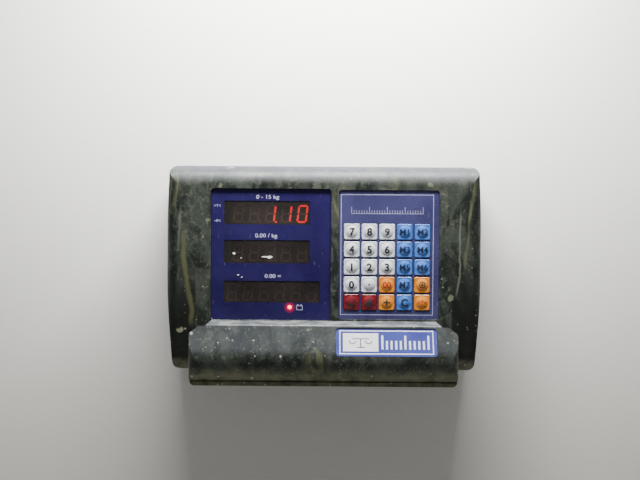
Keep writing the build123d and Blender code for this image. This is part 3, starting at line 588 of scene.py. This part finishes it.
# ------------------------------------------------------------------ display panel print
def add_display_print():
    low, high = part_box("display_overlay")
    left = low.x
    front = flat(low.y)
    caption = Drawing()
    window_middle = left + 45.0 * mm
    for text, x, z in (
        ("0 - 15 kg", window_middle - 1.0 * mm, high.z - 6.2 * mm),
        ("0.00 / kg", window_middle - 2.0 * mm, high.z - 36.6 * mm),
        ("0.00 =", window_middle + 3.5 * mm, high.z - 68.4 * mm),
    ):
        caption.letters(text, x, z, 3.2 * mm, 1.15, 0.004)
    caption.letters(">T<", left + 4.6 * mm, high.z - 13.4 * mm, 2.4 * mm)
    caption.letters(">0<", left + 4.6 * mm, high.z - 25.3 * mm, 2.4 * mm)
    lamp_low, lamp_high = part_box("status_lamp")
    battery_x = lamp_high.x + 6.0 * mm
    battery_z = (lamp_low.z + lamp_high.z) / 2 - 0.3 * mm
    caption.frame(battery_x, battery_z, 5.0 * mm, 3.6 * mm, 0.4 * mm)
    for side in (-1, 1):
        caption.bar(battery_x + side * 1.4 * mm, battery_z + 2.3 * mm, 0.9 * mm, 0.8 * mm)
    caption.piece("display_captions", ink_caption, "housing", "panel_blue", front)


# ------------------------------------------------------------------ keypad print
key_legends = {
    "key_memory_1": "M1", "key_memory_2": "M2", "key_memory_3": "M3", "key_memory_4": "M4",
    "key_memory_5": "M5", "key_memory_6": "M6", "key_memory_7": "M7", "key_clear": "C",
    "key_tare": ">T<", "key_change": "00",
}
key_legends.update({f"key_{number}": str(number) for number in range(10)})


def add_keypad_print():
    low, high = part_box("keypad_panel")
    keys_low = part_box("key_power")[0]
    keys_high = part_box("key_memory_2")[1]
    lines = Drawing()
    middle = (keys_low.x + keys_high.x) / 2
    top, bottom = high.z - 3.2 * mm, low.z + 3.2 * mm
    lines.frame(middle, (top + bottom) / 2, 72.8 * mm, top - bottom, 0.55 * mm)
    lines.piece("keypad_frame", ink_faint, "housing", "keypad_blue", flat(low.y))
    scale = Drawing()
    base = keys_high.z + 7.5 * mm
    scale.bar(middle, base, 56 * mm, 0.45 * mm)
    for tick in range(29):
        height = (5.2 if tick % 7 == 0 else 2.6) * mm
        scale.bar(middle + (tick - 14) * 2 * mm, base + height / 2, 0.4 * mm, height)
    scale.piece("keypad_scale", ink_faint, "housing", "keypad_blue", flat(low.y))


dome_radius = 5.0 * mm
dome_rise = 1.1 * mm
legend_heights = {1: 5.8 * mm, 2: 4.9 * mm, 3: 3.2 * mm}
legend_bold = {1: 0.042, 2: 0.020, 3: 0.020}
key_inks = {
    "key_white": ink_black, "key_blue": ink_navy, "key_orange": ink_red, "key_red": ink_black,
}


def key_surface(node):
    """Where the print lies on one key: on its flat top, and on the dome in the middle."""
    low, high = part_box(node)
    x_middle, z_middle = (low.x + high.x) / 2, (low.z + high.z) / 2
    crown = low.y
    ball = (dome_radius**2 + dome_rise**2) / (2 * dome_rise)

    def surface(x, z):
        away = math.hypot(x - x_middle, z - z_middle)
        if away >= dome_radius:
            return crown + dome_rise
        return crown + ball - math.sqrt(ball**2 - away**2)

    return x_middle, z_middle, surface


def add_key_legend(node, slot):
    x, z, surface = key_surface(node)
    mark = Drawing()
    ink = key_inks[slot]
    if node in key_legends:
        text = key_legends[node]
        size = len(text)
        mark.letters(text, x, z, legend_heights[size], 1.0, legend_bold[size])
    elif node == "key_plus":
        mark.bar(x, z, 5.2 * mm, 1.1 * mm)
        mark.bar(x, z + 1.6 * mm, 1.1 * mm, 2.05 * mm)
        mark.bar(x, z - 1.6 * mm, 1.1 * mm, 2.05 * mm)
        ink = ink_black
    elif node == "key_point":
        mark.ring(x, z, 0.75 * mm, 0.74 * mm, parts=12)
    elif node == "key_power":
        mark.ring(x, z - 0.3 * mm, 2.6 * mm, 0.8 * mm, 125, 290)
        mark.bar(x, z + 1.6 * mm, 0.8 * mm, 2.8 * mm)
    elif node == "key_hold":
        mark.ring(x, z, 2.5 * mm, 0.8 * mm)
        mark.ring(x, z, 1.0 * mm, 0.98 * mm, parts=12)
        ink = ink_black
    else:
        mark.bar(x, z - 0.9 * mm, 5.0 * mm, 2.6 * mm)
        mark.bar(x, z + 1.5 * mm, 3.2 * mm, 1.4 * mm)
    mark.piece(f"{node}_mark", ink, body_of_node[node], slot, surface, 0.8 * mm)


# ------------------------------------------------------------------ nameplate print
plate_lean = math.radians(18.0)
plate_thickness = 1.0 * mm
plate_margin = 5.4 * mm         # from the plate's end to the white field
field_width = 26.4 * mm
bar_count = 11
bar_width = 1.5 * mm
long_bar = 10.4 * mm
short_bar = 6.4 * mm


def add_plate_print():
    """White frame, a white field with a plain balance, and bars in place of any name."""
    low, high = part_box("nameplate")
    rise, run = math.sin(plate_lean), math.cos(plate_lean)
    width = high.x - low.x
    height = ((high.z - low.z) - plate_thickness * rise) / run
    up, out = Vector((0, rise, run)), Vector((0, -run, rise))
    centre = (low + high) / 2 + out * plate_thickness / 2       # of the plate's front face

    def lay(piece, lift):
        for vertex in piece.data.vertices:
            x, z = vertex.co.x, vertex.co.z
            vertex.co = centre + Vector((x, 0, 0)) + up * z + out * (print_height + lift)
        piece.data.update()

    border = Drawing()
    border.frame(0, 0, width - 5.4 * mm, height - 3.0 * mm, 0.75 * mm)
    field_x = -width / 2 + plate_margin + field_width / 2
    field_end = field_x + field_width / 2
    pitch = (width / 2 - 9.6 * mm - field_end) / (bar_count - 1)
    bars = Drawing()
    for place in range(bar_count):
        tall = long_bar if place % 5 == 0 else short_bar
        x = field_end + 3.0 * mm + place * pitch
        bars.bar(x, (tall - long_bar) / 2, bar_width, tall)
    field = Drawing()
    field.bar(field_x, 0, field_width, height - 7.2 * mm)
    balance = Drawing()
    balance.bar(field_x, 2.6 * mm, 13.0 * mm, 0.6 * mm)
    balance.bar(field_x, -0.6 * mm, 0.7 * mm, 6.0 * mm)
    balance.bar(field_x, -3.8 * mm, 6.0 * mm, 0.6 * mm)
    for side in (-1, 1):
        balance.ring(field_x + side * 6.0 * mm, 1.2 * mm, 2.6 * mm, 0.6 * mm, 180, 180, 12)
    for name, drawing, ink, lift in (
        ("plate_border", border, ink_white, 0.0),
        ("plate_bars", bars, ink_white, 0.0),
        ("plate_field", field, ink_white, 0.0),
        ("plate_balance", balance, ink_navy, 0.03 * mm),
    ):
        lay(drawing.piece(name, ink, "housing", "plate_blue", flat(0.0)), lift)


# ------------------------------------------------------------------ flakes on the display
# millimetres from the display film's left and top edges, length and height
flake_places = (
    (18.0, 51.0, 3.4, 2.6), (23.5, 54.4, 1.8, 1.0), (41.5, 53.4, 5.0, 1.6),
    (46.0, 53.6, 5.2, 2.8), (21.0, 67.8, 3.2, 1.0), (24.2, 69.6, 2.0, 1.2),
)
flake_corners = 11


def add_flakes():
    """Small torn flakes of film and paint around the middle window."""
    low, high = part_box("display_overlay")
    chance = random.Random(4)
    flakes = Drawing()
    for x, z, length, height in flake_places:
        outline = []
        for step in range(flake_corners):
            turn = math.tau * step / flake_corners
            reach = chance.uniform(0.45, 1.0) / 2
            outline.append((
                low.x + (x + math.cos(turn) * length * reach) * mm,
                high.z - (z + math.sin(turn) * height * reach) * mm,
            ))
        flakes.polygon(outline)
    flakes.piece("film_flakes", flake, "housing", "panel_blue", flat(low.y - 0.02 * mm))


# ------------------------------------------------------------------ room
wall_gap = 0.5 * mm


def one_sided(f):
    """Lets whoever stands behind the surface see through it, so the object's back shows."""
    clear = f.add("ShaderNodeBsdfTransparent")
    side = f.add("ShaderNodeNewGeometry").outputs["Backfacing"]
    mix = f.add("ShaderNodeMixShader")
    f.feed(mix.inputs[0], side)
    f.tree.links.new(f.shader.outputs[0], mix.inputs[1])
    f.tree.links.new(clear.outputs[0], mix.inputs[2])
    f.tree.links.new(mix.outputs[0], f.tree.nodes["Material Output"].inputs["Surface"])
    return f.material


def wall_finish():
    """Pale matt paint, with painted shade making it greyer and warmer low on the wall; the floor
    faintly glows.
    """
    f = Finish("pale_paint")
    uneven = f.step(f.noise(6, 3), 0.3, 0.7)
    tone = f.blend(uneven, tint(0.80, 0.80, 0.785), tint(0.83, 0.83, 0.815))
    height = f.add("ShaderNodeSeparateXYZ", Vector=f.place).outputs["Z"]
    # painted shade: the wall darkens downwards
    tone = f.blend(f.step(height, 0.16, -0.24), tone, tint(0.50, 0.49, 0.455))
    tone = f.blend(f.step(height, -0.50, -0.90), tone, tint(0.80, 0.80, 0.78))
    glow = f.blend(f.step(height, -0.70, -0.98), tint(0, 0, 0), tint(0.12, 0.12, 0.116))
    f.feed(f.shader.inputs["Emission Color"], glow)
    f.bump(f.noise(300, 3), 0.05, 0.001)
    f.set(tone, 0.85, Emission_Strength=1.0)
    return one_sided(f)


def shell_finish():
    f = Finish("pale_studio")
    uneven = f.step(f.noise(1.5, 2), 0.3, 0.7)
    tone = f.blend(uneven, tint(0.80, 0.80, 0.79), tint(0.84, 0.84, 0.83))
    f.feed(f.shader.inputs["Emission Color"], tone)
    return f.set(tint(0, 0, 0), 0.9, Emission_Strength=1.1)


def add_surface(name, points, faces, material):
    mesh = bpy.data.meshes.new(name)
    mesh.from_pydata(points, [], faces)
    mesh.update()
    for polygon in mesh.polygons:
        polygon.use_smooth = True
    surface = bpy.data.objects.new(name, mesh)
    bpy.context.scene.collection.objects.link(surface)
    mesh.materials.append(material)
    return surface


def make_room():
    """Wall behind the object, running in a soft curve into a floor far below."""
    half, high, low, out, curve = 3.0, 2.6, -1.0, -3.5, 0.4     # metres
    line = [(wall_gap, high), (wall_gap, low + curve)]
    line += [
        (wall_gap - curve + curve * math.cos(a), low + curve - curve * math.sin(a))
        for a in [math.pi / 2 * step / 12 for step in range(1, 13)]
    ]
    line.append((out, low))
    points = [(side * half, y, z) for y, z in line for side in (-1, 1)]
    faces = [(2 * i, 2 * i + 2, 2 * i + 3, 2 * i + 1) for i in range(len(line) - 1)]
    wall = add_surface("backdrop", points, faces, wall_finish())
    wall.visible_shadow = False
    make_studio_shell()


def make_studio_shell():
    """Pale ball around the whole stage: it shows behind the object and lights nothing."""
    ball = bmesh.new()
    bmesh.ops.create_icosphere(ball, subdivisions=4, radius=6.0)
    mesh = bpy.data.meshes.new("studio_shell")
    ball.to_mesh(mesh)
    ball.free()
    shell = bpy.data.objects.new("studio_shell", mesh)
    bpy.context.scene.collection.objects.link(shell)
    mesh.materials.append(shell_finish())
    for ray in ("diffuse", "glossy", "transmission", "volume_scatter", "shadow"):
        setattr(shell, f"visible_{ray}", False)


def add_lamp(name, place, target, width, height, power, colour):
    data = bpy.data.lights.new(name, "AREA")
    data.shape = "RECTANGLE"
    data.size, data.size_y = width, height
    data.energy = power
    data.color = colour
    lamp = bpy.data.objects.new(name, data)
    bpy.context.scene.collection.objects.link(lamp)
    lamp.location = place
    lamp.rotation_mode = "QUATERNION"
    lamp.rotation_quaternion = (Vector(target) - Vector(place)).to_track_quat("-Z", "Y")
    lamp.visible_camera = False


# how the room's light changes with direction: axis, from, to, strength at each
room_levels = (("Z", -0.35, 0.9, 0.09, 0.42), ("Y", 0.25, -0.25, 0.25, 1.0))


def light_room():
    """A strip lamp high on the wall, a little dim light all round, and a lamp for the back."""
    warm = (1.0, 0.985, 0.955)
    add_lamp("strip_lamp", (0.012, -0.165, 0.42), (0.0, -0.08, 0.0), 0.34, 0.08, 13.0, warm)
    add_lamp("back_lamp", (0.0, 1.2, 0.03), (0.0, 0.0, 0.0), 0.25, 0.25, 14.0, warm)
    world = bpy.data.worlds.new("soft_room")
    bpy.context.scene.world = world
    world.use_nodes = True
    tree = world.node_tree
    background = tree.nodes["Background"]
    background.inputs["Color"].default_value = tint(0.97, 0.98, 1.0)
    direction = tree.nodes.new("ShaderNodeSeparateXYZ")
    place = tree.nodes.new("ShaderNodeTexCoord")
    tree.links.new(place.outputs["Generated"], direction.inputs[0])
    product = tree.nodes.new("ShaderNodeMath")
    product.operation = "MULTIPLY"
    for entry, (axis, low, high, dark, bright) in enumerate(room_levels):
        level = tree.nodes.new("ShaderNodeMapRange")
        tree.links.new(direction.outputs[axis], level.inputs["Value"])
        level.inputs["From Min"].default_value = low
        level.inputs["From Max"].default_value = high
        level.inputs["To Min"].default_value = dark
        level.inputs["To Max"].default_value = bright
        tree.links.new(level.outputs[0], product.inputs[entry])
    tree.links.new(product.outputs[0], background.inputs["Strength"])


make_camera()
paint_frame()
add_digits("mass_digits", 5, {0: ("0", False), 1: ("1", False), 2: ("1", True)})     # 1.10
add_digits("price_digits", 5, {})
add_digits("total_digits", 6, {})
add_display_print()
add_keypad_print()
for subpart in frame["record"]["subparts"]:
    if subpart["material_slot"] in key_inks:
        add_key_legend(subpart["node"], subpart["material_slot"])
add_plate_print()
add_flakes()
make_room()
light_room()
